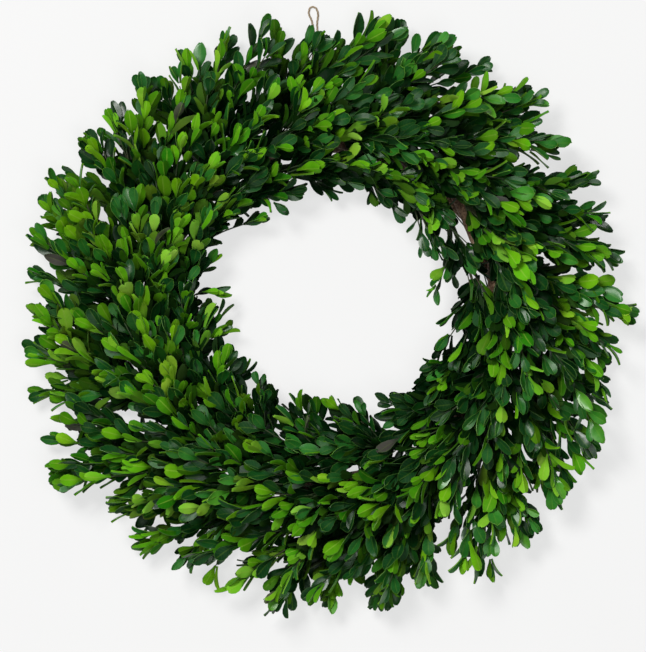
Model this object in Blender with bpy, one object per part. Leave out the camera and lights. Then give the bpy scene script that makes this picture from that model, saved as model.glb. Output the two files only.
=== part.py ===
"""A boxwood wreath lying on its back, in metres, +Z up, seen from the front by looking down on it.

Three vine strands are twisted into a ring. Bunches of boxwood twigs lie on it in three rows, all sweeping
clockwise, and one binding wire holds them. At the top two turns of twine carry the hanging loop.
A clock angle runs clockwise from the top of the wreath (+Y). A seat angle runs round the ring's section:
0 points out from the wreath, 90 up at the viewer, 180 into the opening and -90 down at the table.
"""
import math
import random

import bmesh
import bpy
from mathutils import Vector
from mathutils.bvhtree import BVHTree

# The vine ring
RING_RADIUS = 0.172
STRAND_COUNT = 3
STRAND_RADIUS = 0.0065
STRAND_SPREAD = 0.0083
STRAND_SIDES = 5
STATIONS_PER_REST = 15
TWISTS = 5
REST_CLOCK = -59.7
REST_COUNT = 3
REST_HALF = 2.5
REST_PRESS = 0.0005
RING_BOW = 0.0037

# Bunches: one wire turn ties down the tails of one outer, one face and one inner bunch
SECTOR_COUNT = STRAND_COUNT * TWISTS
SECTOR = 360.0 / SECTOR_COUNT
FIRST_TIE = REST_CLOCK + SECTOR / 2
CORE_TAIL = -2.8
CORE_END = 4.6
CORE_TAIL_RADIUS = 0.0024
CORE_END_RADIUS = 0.0038
CORE_SIDES = 4
ROOT_CLOCK = 3.7
ROOT_FAN = 0.0013
LEAD_ONWARD = 0.030
LEAD_OUT = 0.010
LEAD_FAN = 0.008
CLEARANCE = 0.00035

# Twigs and leaves
LEAF_LENGTH = 0.0285
LEAF_WIDTH = 0.0148
LEAF_FOLD = 0.0014
LEAF_TILT = 0.0024
LEAF_WIDEST = 0.62
LEAF_TIP_WIDTH = 0.38
LEAF_ANGLE = 47.0
LEAF_LIFT = 0.12
LEAF_SCALES = (0.94, 1.06)
LEAF_BASE = 0.0045
LEAF_PITCH = 0.0190
END_GAP = 0.0035
SHORTEST_STEM = 0.016
ROOT_LEAN = 0.5
END_LEAF_RISE = 0.16
TWIG_HALF_WIDTH = 0.0012
TWIG_HEIGHT = 0.0014
TABLE_CLEARANCE = 0.0025
PLACING_GAP = 0.0004
PLACING_TRIES = 120
TRY_GROWTH = 0.04
PATH_STEPS = 20
LOWEST_TIP = 0.008
SEED = 41
AIM_SEEDS = 1000
ROW_SEEDS = 100

# How far a try at a sprig strays from its aim
TURN_STRAY = 3.0
OUTER_STRAY = 0.006
INNER_STRAY = 0.008
FACE_STRAY = 0.008
HEIGHT_STRAY = (-0.005, 0.006)
LEAD_STRAY = 0.006
ROLL_STRAY = 10.0

# Reach of the foliage at each OUTLINE_STEP degrees of the clock, from the top
OUTLINE_STEP = 30.0
OUTER_REACH = (0.300, 0.303, 0.304, 0.305, 0.300, 0.305, 0.300, 0.300, 0.311, 0.305, 0.309, 0.297)
INNER_REACH = (0.118, 0.122, 0.119, 0.118, 0.116, 0.108, 0.096, 0.110, 0.129, 0.122, 0.118, 0.112)

# Binding wire
WIRE_RADIUS = 0.0007
WIRE_SIDES = 3
WIRE_CORNERS = 6
WIRE_START = -120.0
WIRE_RUN = -150.0
WIRE_ADVANCE = 1.0

# Twine tie and hanging loop
TIE_CLOCK = -5.4
TIE_TURNS = 2
TIE_SIDES = 4
TIE_CORNERS = 8
TIE_PITCH = 0.9
TWINE_RADIUS = 0.0011
KNOT_SEAT = -22.5
KNOT_RADIUS = 0.0042
KNOT_OUT = 0.0012
LOOP_SAMPLE = 0.0062
LOOP_SIDES = 8
LOOP_SWELL = 1.1
ROUTE_STEPS = 12
# Route of the loop from the knot to its top and back, as a person would lay it
LOOP_ROUTE = (
    (-0.0196, 0.1905, 0.0115), (-0.0201, 0.1955, 0.0103), (-0.0205, 0.2040, 0.0055),
    (-0.0203, 0.2130, 0.0020), (-0.0195, 0.2230, 0.0013), (-0.0172, 0.2400, 0.0013),
    (-0.0144, 0.2600, 0.0013), (-0.0135, 0.2760, 0.0013), (-0.0160, 0.2900, 0.0013),
    (-0.0190, 0.2978, 0.0013), (-0.0172, 0.3038, 0.0013), (-0.0122, 0.3033, 0.0013),
    (-0.0098, 0.2970, 0.0013), (-0.0108, 0.2870, 0.0013), (-0.0100, 0.2740, 0.0013),
    (-0.0112, 0.2570, 0.0013), (-0.0140, 0.2380, 0.0013), (-0.0162, 0.2230, 0.0013),
    (-0.0170, 0.2130, 0.0020), (-0.0170, 0.2040, 0.0055), (-0.0167, 0.1955, 0.0103),
    (-0.0164, 0.1905, 0.0115),
)

# Colour and roughness
VINE = ((0.20, 0.12, 0.06), 0.85)
WIRE = ((0.10, 0.16, 0.08), 0.5)
TWINE = ((0.45, 0.33, 0.20), 0.9)
FOLIAGE = ((0.05, 0.17, 0.03), 0.45)

UP = Vector((0, 0, 1))


class Row:
    """One row of bunches: where it sits on the ring, how far it sinks in, and where its sprigs go."""

    def __init__(self, name, seat, sink, sprigs):
        self.name = name
        self.seat = seat
        self.sink = sink
        self.sprigs = sprigs


class Reach:
    """The aim of one sprig of a bunch, from the row's table."""

    def __init__(self, fan, turn, radius, height, pairs, side_lean, roll=0.0):
        self.fan = fan
        self.turn = turn
        self.radius = radius
        self.height = height
        self.pairs = pairs
        self.side_lean = side_lean
        self.roll = roll


# fan: side of the core that the sprig leaves, as a seat angle; turn: degrees from the root to the tip;
# radius: short of the outline or a plain radius; height of the tip; pairs of leaves; side_lean: how far
# the leaves face out or in
ROWS = (
    Row("outer", 2.0, 0.0010, (
        Reach(-60.0, 12.0, 0.0, 0.016, 4, 0.1, -10),
        Reach(0.0, 20.0, -0.036, 0.036, 3, 0.3, 10),
        Reach(60.0, 27.5, -0.004, 0.058, 4, 0.2, -8),
    )),
    Row("face", 84.0, 0.0, (
        Reach(170.0, 32.0, 0.172, 0.076, 4, -0.2, 0),
        Reach(80.0, 29.0, 0.207, 0.084, 4, 0.2, 0),
        Reach(0.0, 23.0, 0.244, 0.068, 3, 0.5, 0),
    )),
    Row("inner", 163.0, 0.0, (
        Reach(200.0, 36.0, 0.006, 0.024, 3, -0.5, 10),
        Reach(110.0, 43.0, 0.024, 0.056, 3, -0.6, -10),
    )),
)


def radial(clock):
    """Direction out from the wreath's centre at a clock angle."""
    a = math.radians(clock)
    return Vector((math.sin(a), math.cos(a), 0))


def onward(clock):
    """Clockwise direction at a clock angle."""
    a = math.radians(clock)
    return Vector((math.cos(a), -math.sin(a), 0))


def outward(clock, seat):
    """Direction away from the ring's middle line at a seat angle."""
    s = math.radians(seat)
    return radial(clock) * math.cos(s) + UP * math.sin(s)


def ring_height(clock):
    """The ring bows down to the table at the rests, where a strand touches it."""
    bow = (1 - math.cos(REST_COUNT * math.radians(clock - REST_CLOCK))) / 2
    return STRAND_SPREAD + STRAND_RADIUS * math.cos(math.pi / STRAND_SIDES) - REST_PRESS + RING_BOW * bow


def ring_middle(clock):
    return radial(clock) * RING_RADIUS + UP * ring_height(clock)


def strand_seat(clock, strand):
    return TWISTS * (clock - REST_CLOCK) - 90 + strand * 360 / STRAND_COUNT


def strand_discs(clock):
    """The strands' sections at a clock angle, as (across, up, radius) about the ring's middle."""
    discs = []
    for strand in range(STRAND_COUNT):
        seat = math.radians(strand_seat(clock, strand))
        discs.append((STRAND_SPREAD * math.cos(seat), STRAND_SPREAD * math.sin(seat), STRAND_RADIUS))
    return discs


def support(discs, seat):
    """How far the discs reach in the direction of a seat angle."""
    s = math.radians(seat)
    return max(x * math.cos(s) + y * math.sin(s) + r for x, y, r in discs)


def core_radius(past_tie):
    share = (past_tie - CORE_TAIL) / (CORE_END - CORE_TAIL)
    return CORE_TAIL_RADIUS + (CORE_END_RADIUS - CORE_TAIL_RADIUS) * share


def core_distance(row, past_tie):
    """Distance of a core's middle from that of the ring: it lies on the strands."""
    return STRAND_SPREAD + STRAND_RADIUS + CLEARANCE - row.sink + core_radius(past_tie)


def core_point(tie, row, past_tie):
    clock = tie + past_tie
    return ring_middle(clock) + outward(clock, row.seat) * core_distance(row, past_tie)


def taut_corner(discs, seat, step, offset):
    """Corner of a band pulled tight round the discs, between the directions seat and seat + step."""
    near, far = support(discs, seat) + offset, support(discs, seat + step) + offset
    a, b = math.radians(seat), math.radians(seat + step)
    det = math.sin(b - a)
    return (near * math.sin(b) - far * math.sin(a)) / det, (far * math.cos(a) - near * math.cos(b)) / det


def section_point(clock, across, up):
    return ring_middle(clock) + radial(clock) * across + UP * up


def new_object(name, bm):
    bmesh.ops.recalc_face_normals(bm, faces=bm.faces)
    mesh = bpy.data.meshes.new(name)
    bm.to_mesh(mesh)
    bm.free()
    obj = bpy.data.objects.new(name, mesh)
    bpy.context.scene.collection.objects.link(obj)
    return obj


def finish(obj, name, look):
    """Names the object and gives it its own material."""
    color, roughness = look
    obj.name = name
    obj.data.name = name
    material = bpy.data.materials.new(name)
    material.use_nodes = True
    shader = material.node_tree.nodes["Principled BSDF"]
    shader.inputs["Base Color"].default_value = (*color, 1)
    shader.inputs["Roughness"].default_value = roughness
    shader.inputs["Metallic"].default_value = 0.0
    obj.data.materials.clear()
    obj.data.materials.append(material)
    return obj


def join_rings(bm, rings, closed=False):
    """Skins a list of rings of vertices, and caps the two ends unless the tube is closed."""
    pairs = list(zip(rings, rings[1:]))
    if closed:
        pairs.append((rings[-1], rings[0]))
    for low, high in pairs:
        for i in range(len(low)):
            k = (i + 1) % len(low)
            bm.faces.new((low[i], low[k], high[k], high[i]))
    if not closed:
        bm.faces.new(rings[0])
        bm.faces.new(rings[-1])


def tube(points, radius, sides):
    """A tube along open points, with its section carried along without twist."""
    bm = bmesh.new()
    rings = []
    side = None
    for i, point in enumerate(points):
        ahead = (points[min(i + 1, len(points) - 1)] - points[max(i - 1, 0)]).normalized()
        if side is None:
            side = ahead.orthogonal()
        side = (side - ahead * side.dot(ahead)).normalized()
        other = ahead.cross(side)
        rings.append([bm.verts.new(point + (side * math.cos(a) + other * math.sin(a)) * radius)
                      for a in (2 * math.pi * k / sides for k in range(sides))])
    join_rings(bm, rings)
    bmesh.ops.triangulate(bm, faces=bm.faces)
    return bm


def station_clocks():
    """Even stations round the ring, but with one on each side of every rest spot."""
    between = 360 / REST_COUNT - 2 * REST_HALF
    clocks = []
    for rest in range(REST_COUNT):
        middle = REST_CLOCK + 360 * rest / REST_COUNT
        clocks.append(middle - REST_HALF)
        for k in range(STATIONS_PER_REST - 1):
            clocks.append(middle + REST_HALF + between * k / (STATIONS_PER_REST - 1))
    return clocks


def vine_strand(strand):
    """One strand of the vine ring, pressed flat where it rests on the table."""
    bm = bmesh.new()
    rings = []
    for clock in station_clocks():
        seat = math.radians(strand_seat(clock, strand))
        ring = []
        for k in range(STRAND_SIDES):
            a = math.radians(-90 + 360 * (k + 0.5) / STRAND_SIDES)
            across = STRAND_SPREAD * math.cos(seat) + STRAND_RADIUS * math.cos(a)
            up = STRAND_SPREAD * math.sin(seat) + STRAND_RADIUS * math.sin(a)
            point = section_point(clock, across, up)
            point.z = max(point.z, 0.0)
            ring.append(bm.verts.new(point))
        rings.append(ring)
    join_rings(bm, rings, closed=True)
    bmesh.ops.triangulate(bm, faces=bm.faces)
    return new_object("strand", bm)


def tie_clocks():
    return [FIRST_TIE + SECTOR * k for k in range(SECTOR_COUNT)]


def wire_path():
    """One turn at each tie, pulled tight round strands and cores, then on to the next tie at the back."""
    offset = CLEARANCE + WIRE_RADIUS
    step = 360 / WIRE_CORNERS
    ties = sorted(tie_clocks(), key=lambda tie: (tie - TIE_CLOCK) % 360)
    points = []
    for tie in ties:
        for corner in range(WIRE_CORNERS + 1):
            past = WIRE_ADVANCE * (corner / WIRE_CORNERS - 0.5)
            clock = tie + past
            discs = strand_discs(clock)
            for row in ROWS:
                reach = core_distance(row, past)
                s = math.radians(row.seat)
                discs.append((reach * math.cos(s), reach * math.sin(s), core_radius(past)))
            across, up = taut_corner(discs, WIRE_START + step * (corner - 0.5), step, offset)
            points.append(section_point(clock, across, up))
        if tie is not ties[-1]:
            clock = tie + SECTOR / 2
            reach = support(strand_discs(clock), WIRE_RUN) + offset
            points.append(ring_middle(clock) + outward(clock, WIRE_RUN) * reach)
    return points


def binding_wire():
    return new_object("wire", tube(wire_path(), WIRE_RADIUS, WIRE_SIDES))


def unite(body, others, name):
    """Joins a collection of pieces to a body with one Boolean union, then removes them."""
    group = bpy.data.collections.new(name)
    for other in others:
        bpy.context.scene.collection.objects.unlink(other)
        group.objects.link(other)
    union = body.modifiers.new("union", "BOOLEAN")
    union.operation = "UNION"
    union.operand_type = "COLLECTION"
    union.collection = group
    union.solver = "EXACT"
    bpy.context.view_layer.update()
    mesh = bpy.data.meshes.new_from_object(body.evaluated_get(bpy.context.evaluated_depsgraph_get()))
    body.modifiers.clear()
    body.data = mesh
    for other in others:
        bpy.data.objects.remove(other)
    bpy.data.collections.remove(group)
    return body


def knot_middle():
    reach = support(strand_discs(TIE_CLOCK), KNOT_SEAT) + CLEARANCE + TWINE_RADIUS
    return ring_middle(TIE_CLOCK) + outward(TIE_CLOCK, KNOT_SEAT) * reach


def twine_tie():
    """Two turns of twine round the bare ring, and the knot that the hanging loop comes out of."""
    step = 360 / TIE_CORNERS
    points = []
    for corner in range(TIE_TURNS * TIE_CORNERS + 1):
        clock = TIE_CLOCK + TIE_PITCH * (corner / TIE_CORNERS - TIE_TURNS / 2)
        across, up = taut_corner(strand_discs(clock), KNOT_SEAT + step * (corner - 0.5), step,
                                 CLEARANCE + TWINE_RADIUS)
        points.append(section_point(clock, across, up))
    turns = new_object("tie", tube(points, TWINE_RADIUS, TIE_SIDES))
    bm = bmesh.new()
    bmesh.ops.create_icosphere(bm, subdivisions=1, radius=KNOT_RADIUS)
    bmesh.ops.translate(bm, verts=bm.verts, vec=knot_middle() + radial(TIE_CLOCK) * KNOT_OUT)
    return unite(turns, [new_object("knot", bm)], "tie pieces")


def smooth_route(points, sample):
    """Points at even distances along a Catmull-Rom curve through the route's own points."""
    ends = [points[0] * 2 - points[1]] + points + [points[-1] * 2 - points[-2]]
    fine = []
    for a, b, c, d in zip(ends, ends[1:], ends[2:], ends[3:]):
        for k in range(ROUTE_STEPS):
            t = k / ROUTE_STEPS
            fine.append(0.5 * ((2 * b) + (c - a) * t + (2 * a - 5 * b + 4 * c - d) * t * t
                               + (3 * b - 3 * c + d - a) * t * t * t))
    fine.append(points[-1])
    walked = [0.0]
    for a, b in zip(fine, fine[1:]):
        walked.append(walked[-1] + (b - a).length)
    count = round(walked[-1] / sample)
    route = []
    for k in range(count + 1):
        goal = walked[-1] * k / count
        i = max(j for j in range(len(fine) - 1) if walked[j] <= goal)
        route.append(fine[i].lerp(fine[i + 1], (goal - walked[i]) / (walked[i + 1] - walked[i])))
    return route


def hanging_loop(route):
    curve = bpy.data.curves.new("twine_loop", "CURVE")
    curve.dimensions = "3D"
    curve.bevel_depth = TWINE_RADIUS
    curve.bevel_resolution = 2
    curve.use_fill_caps = True
    spline = curve.splines.new("POLY")
    spline.points.add(len(route) - 1)
    for target, point in zip(spline.points, route):
        target.co = (*point, 1)
    obj = bpy.data.objects.new("twine_loop", curve)
    bpy.context.scene.collection.objects.link(obj)
    return obj


def core(tie, row):
    """The bound stems of a bunch, lying on the strands."""
    bm = bmesh.new()
    rings = []
    for past in (CORE_TAIL, CORE_END):
        clock = tie + past
        middle = core_point(tie, row, past)
        out = outward(clock, row.seat)
        side = onward(clock).cross(out)
        rings.append([bm.verts.new(middle + (out * math.cos(a) + side * math.sin(a)) * core_radius(past))
                      for a in (2 * math.pi * k / CORE_SIDES for k in range(CORE_SIDES))])
    join_rings(bm, rings)
    bmesh.ops.triangulate(bm, faces=bm.faces)
    return bm


class Sprig:
    """A twig with pairs of leaves, cut from one thin arched blade that follows the twig."""

    def __init__(self, root, lead, tip, root_facing, tip_facing, pairs, leaf_scale):
        self.path = (root, lead, tip)
        self.facing = (root_facing, tip_facing)
        self.pairs = pairs
        self.leaf_length = LEAF_LENGTH * leaf_scale
        self.leaf_width = LEAF_WIDTH * leaf_scale

        self.walked = [0.0]
        for k in range(PATH_STEPS):
            step = self.at((k + 1) / PATH_STEPS) - self.at(k / PATH_STEPS)
            self.walked.append(self.walked[-1] + step.length)

    def at(self, t):
        a, b, c = self.path
        return a * (1 - t) ** 2 + b * (2 * t * (1 - t)) + c * t * t

    def share(self, distance):
        """Share of the curve at a distance walked from the root."""
        k = 0
        while k < PATH_STEPS - 1 and self.walked[k + 1] < distance:
            k += 1
        return (k + (distance - self.walked[k]) / (self.walked[k + 1] - self.walked[k])) / PATH_STEPS

    def frame(self, distance):
        """Place, direction along, direction to the left and facing at a distance from the root."""
        t = self.share(distance)
        a, b, c = self.path
        along = ((b - a) * (1 - t) + (c - b) * t).normalized()
        facing = self.facing[0].lerp(self.facing[1], t)
        facing = (facing - along * facing.dot(along)).normalized()
        return self.at(t), along, facing.cross(along), facing

    def section(self, bm, distance, swell):
        """Ridge, left and right of the twig's three-sided section."""
        place, along, left, facing = self.frame(distance)
        half = TWIG_HALF_WIDTH + swell
        ridge = bm.verts.new(place + facing * (TWIG_HEIGHT * 0.5 + swell))
        base = place - facing * (TWIG_HEIGHT * 0.5 + swell)
        return ridge, bm.verts.new(base + left * half), bm.verts.new(base - left * half)

    def leaf(self, bm, near, far, distance, side, swell):
        """One leaf of a pair: near and far are the twig's sections where its base starts and ends."""
        place, along, left, facing = self.frame(distance)
        turn = math.radians(LEAF_ANGLE)
        reach = along * math.cos(turn) + left * (side * math.sin(turn)) + facing * LEAF_LIFT
        reach.normalize()
        across = along * math.sin(turn) - left * (side * math.cos(turn))
        normal = reach.cross(across)
        if normal.dot(facing) < 0:
            normal.negate()
        length = self.leaf_length + swell
        tip = place + reach * length
        ridge = place + reach * (length * LEAF_WIDEST)
        half = across * (self.leaf_width / 2 + swell) - normal * LEAF_TILT
        fold = normal * (LEAF_FOLD + swell)
        back = bm.verts.new(ridge - half - fold)
        front = bm.verts.new(ridge + half - fold)
        back_tip = bm.verts.new(tip - half * LEAF_TIP_WIDTH + normal * swell)
        front_tip = bm.verts.new(tip + half * LEAF_TIP_WIDTH + normal * swell)
        c0, c1 = near[0], far[0]
        b0, b1 = (near[1], far[1]) if side > 0 else (near[2], far[2])
        for face in ((c0, back, back_tip), (c0, back_tip, c1), (c1, back_tip, front_tip),
                     (c1, front_tip, front), (b0, b1, front), (b0, front, back), (back, front, back_tip),
                     (back_tip, front, front_tip), (c0, b0, back), (c1, front, b1)):
            bm.faces.new(face)

    def end_leaf(self, bm, last, distance, swell):
        place, along, left, facing = self.frame(distance)
        length = self.leaf_length + swell
        widest = place + along * (length * LEAF_WIDEST)
        fold = facing * (LEAF_FOLD + swell)
        half = left * (self.leaf_width / 2 + swell)
        rise = facing * (length * END_LEAF_RISE)
        widest += rise * LEAF_WIDEST
        tip = place + along * length + rise + facing * swell
        a = bm.verts.new(widest + half - fold)
        b = bm.verts.new(widest - half - fold)
        a_tip = bm.verts.new(tip + half * LEAF_TIP_WIDTH)
        b_tip = bm.verts.new(tip - half * LEAF_TIP_WIDTH)
        ridge, l, r = last
        for face in ((ridge, l, a), (ridge, a, a_tip), (ridge, a_tip, b_tip), (ridge, b_tip, b),
                     (ridge, b, r), (l, r, b), (l, b, a), (a, b, a_tip), (a_tip, b, b_tip)):
            bm.faces.new(face)

    def build(self, swell=0.0, leafy_only=False):
        """The whole sprig as one closed mesh, or without the bare root of its twig."""
        bm = bmesh.new()
        end = self.walked[-1] - self.leaf_length
        room = int((end - END_GAP - LEAF_BASE - SHORTEST_STEM) / LEAF_PITCH) + 1
        pairs = min(self.pairs, room)
        starts = [end - END_GAP - LEAF_BASE - LEAF_PITCH * (pairs - 1 - i) for i in range(pairs)]
        last = self.section(bm, starts[0] / 2 if leafy_only else 0.0, swell)
        bm.faces.new(last)
        for start in starts:
            near = self.section(bm, start, swell)
            far = self.section(bm, start + LEAF_BASE, swell)
            self.skin(bm, last, near)
            bm.faces.new((near[1], near[2], far[2], far[1]))
            self.leaf(bm, near, far, start + LEAF_BASE / 2, 1, swell)
            self.leaf(bm, near, far, start + LEAF_BASE / 2, -1, swell)
            last = far
        neck = self.section(bm, end, swell)
        self.skin(bm, last, neck)
        self.end_leaf(bm, neck, end, swell)
        bmesh.ops.triangulate(bm, faces=bm.faces)
        return bm

    @staticmethod
    def skin(bm, low, high):
        for i in range(3):
            k = (i + 1) % 3
            bm.faces.new((low[i], low[k], high[k], high[i]))


def outline(table, clock):
    """Reach of the foliage at a clock angle, read between the table's directions."""
    place = (clock % 360) / OUTLINE_STEP
    i = int(place)
    share = place - i
    return table[i % len(table)] * (1 - share) + table[(i + 1) % len(table)] * share


def draw_sprig(tie, row, aim, chance, spread):
    """One try at a sprig: the aim, moved by a random draw that grows with spread."""
    root_clock = tie + ROOT_CLOCK
    root = core_point(tie, row, ROOT_CLOCK) + outward(root_clock, aim.fan) * ROOT_FAN
    out = outward(root_clock, row.seat)
    turn = aim.turn + chance.uniform(-TURN_STRAY, TURN_STRAY) * spread
    tip_clock = root_clock + turn
    if row.name == "outer":
        radius = outline(OUTER_REACH, tip_clock) + aim.radius - chance.uniform(0, OUTER_STRAY) * spread
    elif row.name == "inner":
        radius = outline(INNER_REACH, tip_clock) + aim.radius + chance.uniform(0, INNER_STRAY) * spread
    else:
        radius = aim.radius + chance.uniform(-FACE_STRAY, FACE_STRAY) * spread
    height = max(aim.height + chance.uniform(*HEIGHT_STRAY) * spread, LOWEST_TIP)
    tip = radial(tip_clock) * radius + UP * height
    lead = (root + onward(root_clock) * LEAD_ONWARD + outward(root_clock, aim.fan) * LEAD_FAN
            + out * (LEAD_OUT + chance.uniform(0, LEAD_STRAY) * spread))
    roll = math.radians(aim.roll + chance.uniform(-ROLL_STRAY, ROLL_STRAY) * spread)
    tip_facing = UP + radial(tip_clock) * aim.side_lean
    along = (tip - lead).normalized()
    tip_facing = tip_facing * math.cos(roll) + along.cross(tip_facing) * math.sin(roll)
    scale = chance.uniform(*LEAF_SCALES)
    return Sprig(root, lead, tip, UP + out * ROOT_LEAN, tip_facing, aim.pairs, scale)


def box_of(bm):
    xs, ys, zs = zip(*(v.co for v in bm.verts))
    return (min(xs), min(ys), min(zs)), (max(xs), max(ys), max(zs))


def apart(a, b):
    return any(a[0][i] > b[1][i] or b[0][i] > a[1][i] for i in range(3))


class Placed:
    """A mesh that later sprigs keep clear of."""

    def __init__(self, bm, owner):
        self.tree = BVHTree.FromBMesh(bm)
        self.box = box_of(bm)
        self.owner = owner


def is_clear(sprig, owner, placed):
    """Whether a sprig misses the table and all that is placed, but for its twig in its own core."""
    bm = sprig.build(PLACING_GAP)
    box, tree = box_of(bm), BVHTree.FromBMesh(bm)
    bm.free()
    if box[0][2] < TABLE_CLEARANCE:
        return False
    bm = sprig.build(PLACING_GAP, leafy_only=True)
    leafy = BVHTree.FromBMesh(bm)
    bm.free()
    for other in placed:
        if apart(box, other.box):
            continue
        mine = leafy if other.owner.startswith(owner) else tree
        if mine.overlap(other.tree):
            return False
    return True


def solid_copy(obj):
    bm = bmesh.new()
    bm.from_mesh(obj.data)
    return bm


def place_sprigs(fixed):
    """Finds every sprig a place where it is clear of all that is already there."""
    placed = list(fixed)
    bunches = {}
    for row in ROWS:
        for sector, tie in enumerate(tie_clocks()):
            placed.append(Placed(core(tie, row), f"{row.name}{sector} core"))
    for row in ROWS:
        for number, aim in enumerate(row.sprigs):
            for sector, tie in enumerate(tie_clocks()):
                chance = random.Random(SEED + AIM_SEEDS * number + ROW_SEEDS * len(row.name) + sector)
                owner = f"{row.name}{sector} core"
                for attempt in range(PLACING_TRIES):
                    sprig = draw_sprig(tie, row, aim, chance, 1 + attempt * TRY_GROWTH)
                    if is_clear(sprig, owner, placed):
                        placed.append(Placed(sprig.build(), owner + " sprig"))
                        bunches.setdefault((row.name, sector), []).append(sprig)
                        break
    return bunches


def bunch(tie, row, sprigs):
    body = new_object("bunch", core(tie, row))
    return unite(body, [new_object("twig", sprig.build()) for sprig in sprigs], "twigs")


def build():
    for obj in list(bpy.data.objects):
        bpy.data.objects.remove(obj)
    route = smooth_route([Vector(p) for p in LOOP_ROUTE], LOOP_SAMPLE)
    finish(hanging_loop(route), "twine_loop", TWINE)
    fixed = [Placed(tube(route, TWINE_RADIUS * LOOP_SWELL, LOOP_SIDES), "loop")]
    bound = [(vine_strand(k), f"vine_strand_{k + 1}", VINE) for k in range(STRAND_COUNT)]
    bound += [(binding_wire(), "binding_wire", WIRE), (twine_tie(), "twine_tie", TWINE)]
    for obj, name, look in bound:
        fixed.append(Placed(solid_copy(finish(obj, name, look)), name))
    bunches = place_sprigs(fixed)
    rows = {row.name: row for row in ROWS}
    for (name, sector), sprigs in sorted(bunches.items()):
        finish(bunch(tie_clocks()[sector], rows[name], sprigs), f"{name}_bunch_{sector + 1:02d}", FOLIAGE)


build()
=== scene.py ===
"""The looks of the boxwood wreath: leafy sprigs, bark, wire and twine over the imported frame.

Metres, +Z up. The wreath lies on its back and is seen from straight above, with its top at +Y.
A clock angle runs clockwise from the top of the wreath. A seat angle runs round the ring's section:
0 points out from the wreath, 90 up at the viewer, 180 into the opening and -90 down at the table.
"""
import math
import random
from collections import namedtuple
from dataclasses import dataclass

import bmesh
import bpy
import numpy as np
from mathutils import Matrix, Vector


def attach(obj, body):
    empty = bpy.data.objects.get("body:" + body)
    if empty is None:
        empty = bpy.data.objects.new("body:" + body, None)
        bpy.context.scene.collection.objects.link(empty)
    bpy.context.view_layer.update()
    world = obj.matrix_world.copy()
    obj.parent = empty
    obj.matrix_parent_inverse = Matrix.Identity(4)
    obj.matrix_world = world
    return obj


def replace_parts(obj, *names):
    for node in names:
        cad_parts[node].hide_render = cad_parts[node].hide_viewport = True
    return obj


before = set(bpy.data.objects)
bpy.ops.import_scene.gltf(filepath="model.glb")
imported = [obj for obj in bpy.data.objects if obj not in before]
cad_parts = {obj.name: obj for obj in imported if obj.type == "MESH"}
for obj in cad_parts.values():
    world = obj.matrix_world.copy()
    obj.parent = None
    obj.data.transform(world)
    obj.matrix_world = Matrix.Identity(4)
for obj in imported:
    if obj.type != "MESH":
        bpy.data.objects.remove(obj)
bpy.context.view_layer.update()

UP = Vector((0, 0, 1))
SEED = 41

# The photograph: metres to a pixel, its size in pixels, and the pixel over the frame's origin
PHOTO_SCALE = 0.0009855
PHOTO_SIZE = (646, 652)
PHOTO_ORIGIN = (328, 313)
CAMERA_HEIGHT = 5.0
FOCUS_HEIGHT = 0.045
SENSOR = 36.0

# The vine ring, as in the frame's source
RING_RADIUS = 0.172
STRAND_COUNT = 3
STRAND_RADIUS = 0.0065
STRAND_SPREAD = 0.0083
STRAND_SIDES = 5
TWISTS = 5
REST_CLOCK = -59.7
REST_COUNT = 3
REST_PRESS = 0.0005
RING_BOW = 0.0037
SECTOR_COUNT = STRAND_COUNT * TWISTS
SECTOR = 360.0 / SECTOR_COUNT
FIRST_TIE = REST_CLOCK + SECTOR / 2
CORE_TAIL = -2.8
CORE_END = 4.6
CORE_TAIL_RADIUS = 0.0024
CORE_END_RADIUS = 0.0038
CLEARANCE = 0.00035

# Bark: its bumps stand on a tube that has the share BARK_CORE of a strand's radius
BARK_STATIONS = 300
BARK_DEPTH = 0.0011
BARK_GRAIN = 0.006
BARK_CORE = 0.96
BARK_ROUNDNESS = 4

# Sprigs: where the root is on the core, and the point towards which the sprig leaves it
ROOT_CLOCK = 3.7
ROOT_FAN = 0.0013
ROOT_LEAN = 0.5
LEAD_ONWARD = 0.030
LEAD_SHIFT = 0.0015
LEAD_OUT = 0.010
LEAD_STRAY = (-0.003, 0.008)
LEAD_FAN = 0.008
# Degrees by which a sprig may tip on or back from its aim, and the even spread of such shifts
SHIFT = 12.0
GOLDEN = 0.618
# Height of the tips: how it strays and its least value
TIP_STRAY = (-0.010, 0.008)
TIP_LOWEST = 0.008
ROLL = 25.0
SWAY = 0.006
SWAY_TURNS = 1.6
STEM_RADIUS = 0.0011
STEM_ROUNDNESS = 1
STEM_TIP_SHARE = 0.5
STEM_POINTS = 10

# Leaves: length, how sizes and widths vary, tilt in degrees, width over length, columns of faces
LEAF_LENGTH = 0.0280
LEAF_SIZES = (0.72, 1.14)
LEAF_WIDTHS = (0.74, 1.10)
LEAF_TILT = 32.0
LEAF_SHAPE = 0.47
LEAF_COLUMNS = 2
# Outlines of a leaf: rows as share of the length and share of the width
SPOON = ((0.0, 0.10), (0.18, 0.21), (0.40, 0.62), (0.62, 0.96), (0.80, 0.98), (0.94, 0.66), (1.0, 0.24))
ELLIPSE = ((0.0, 0.10), (0.15, 0.30), (0.34, 0.76), (0.54, 1.0), (0.74, 0.90), (0.91, 0.54), (1.0, 0.18))
# The rib is pushed back from the flat leaf, and is what lies this close to its middle
LEAF_CREASE = 0.075
RIB_WIDTH = 0.001
LEAF_THICKNESS = 0.014
# Edges with a wider angle than this are shaded sharp
SHARP = 50.0
# Outline, cup across, arch along and twist of each leaf form, in degrees
LEAF_FORMS = (
    (SPOON, -30, 12, 8), (ELLIPSE, 20, 26, -12), (ELLIPSE, -55, 5, 15), (SPOON, 10, -18, 6),
    (ELLIPSE, -15, 36, -6), (SPOON, 35, 16, 24), (ELLIPSE, 8, 10, -28), (SPOON, -42, 30, -10),
)
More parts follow.
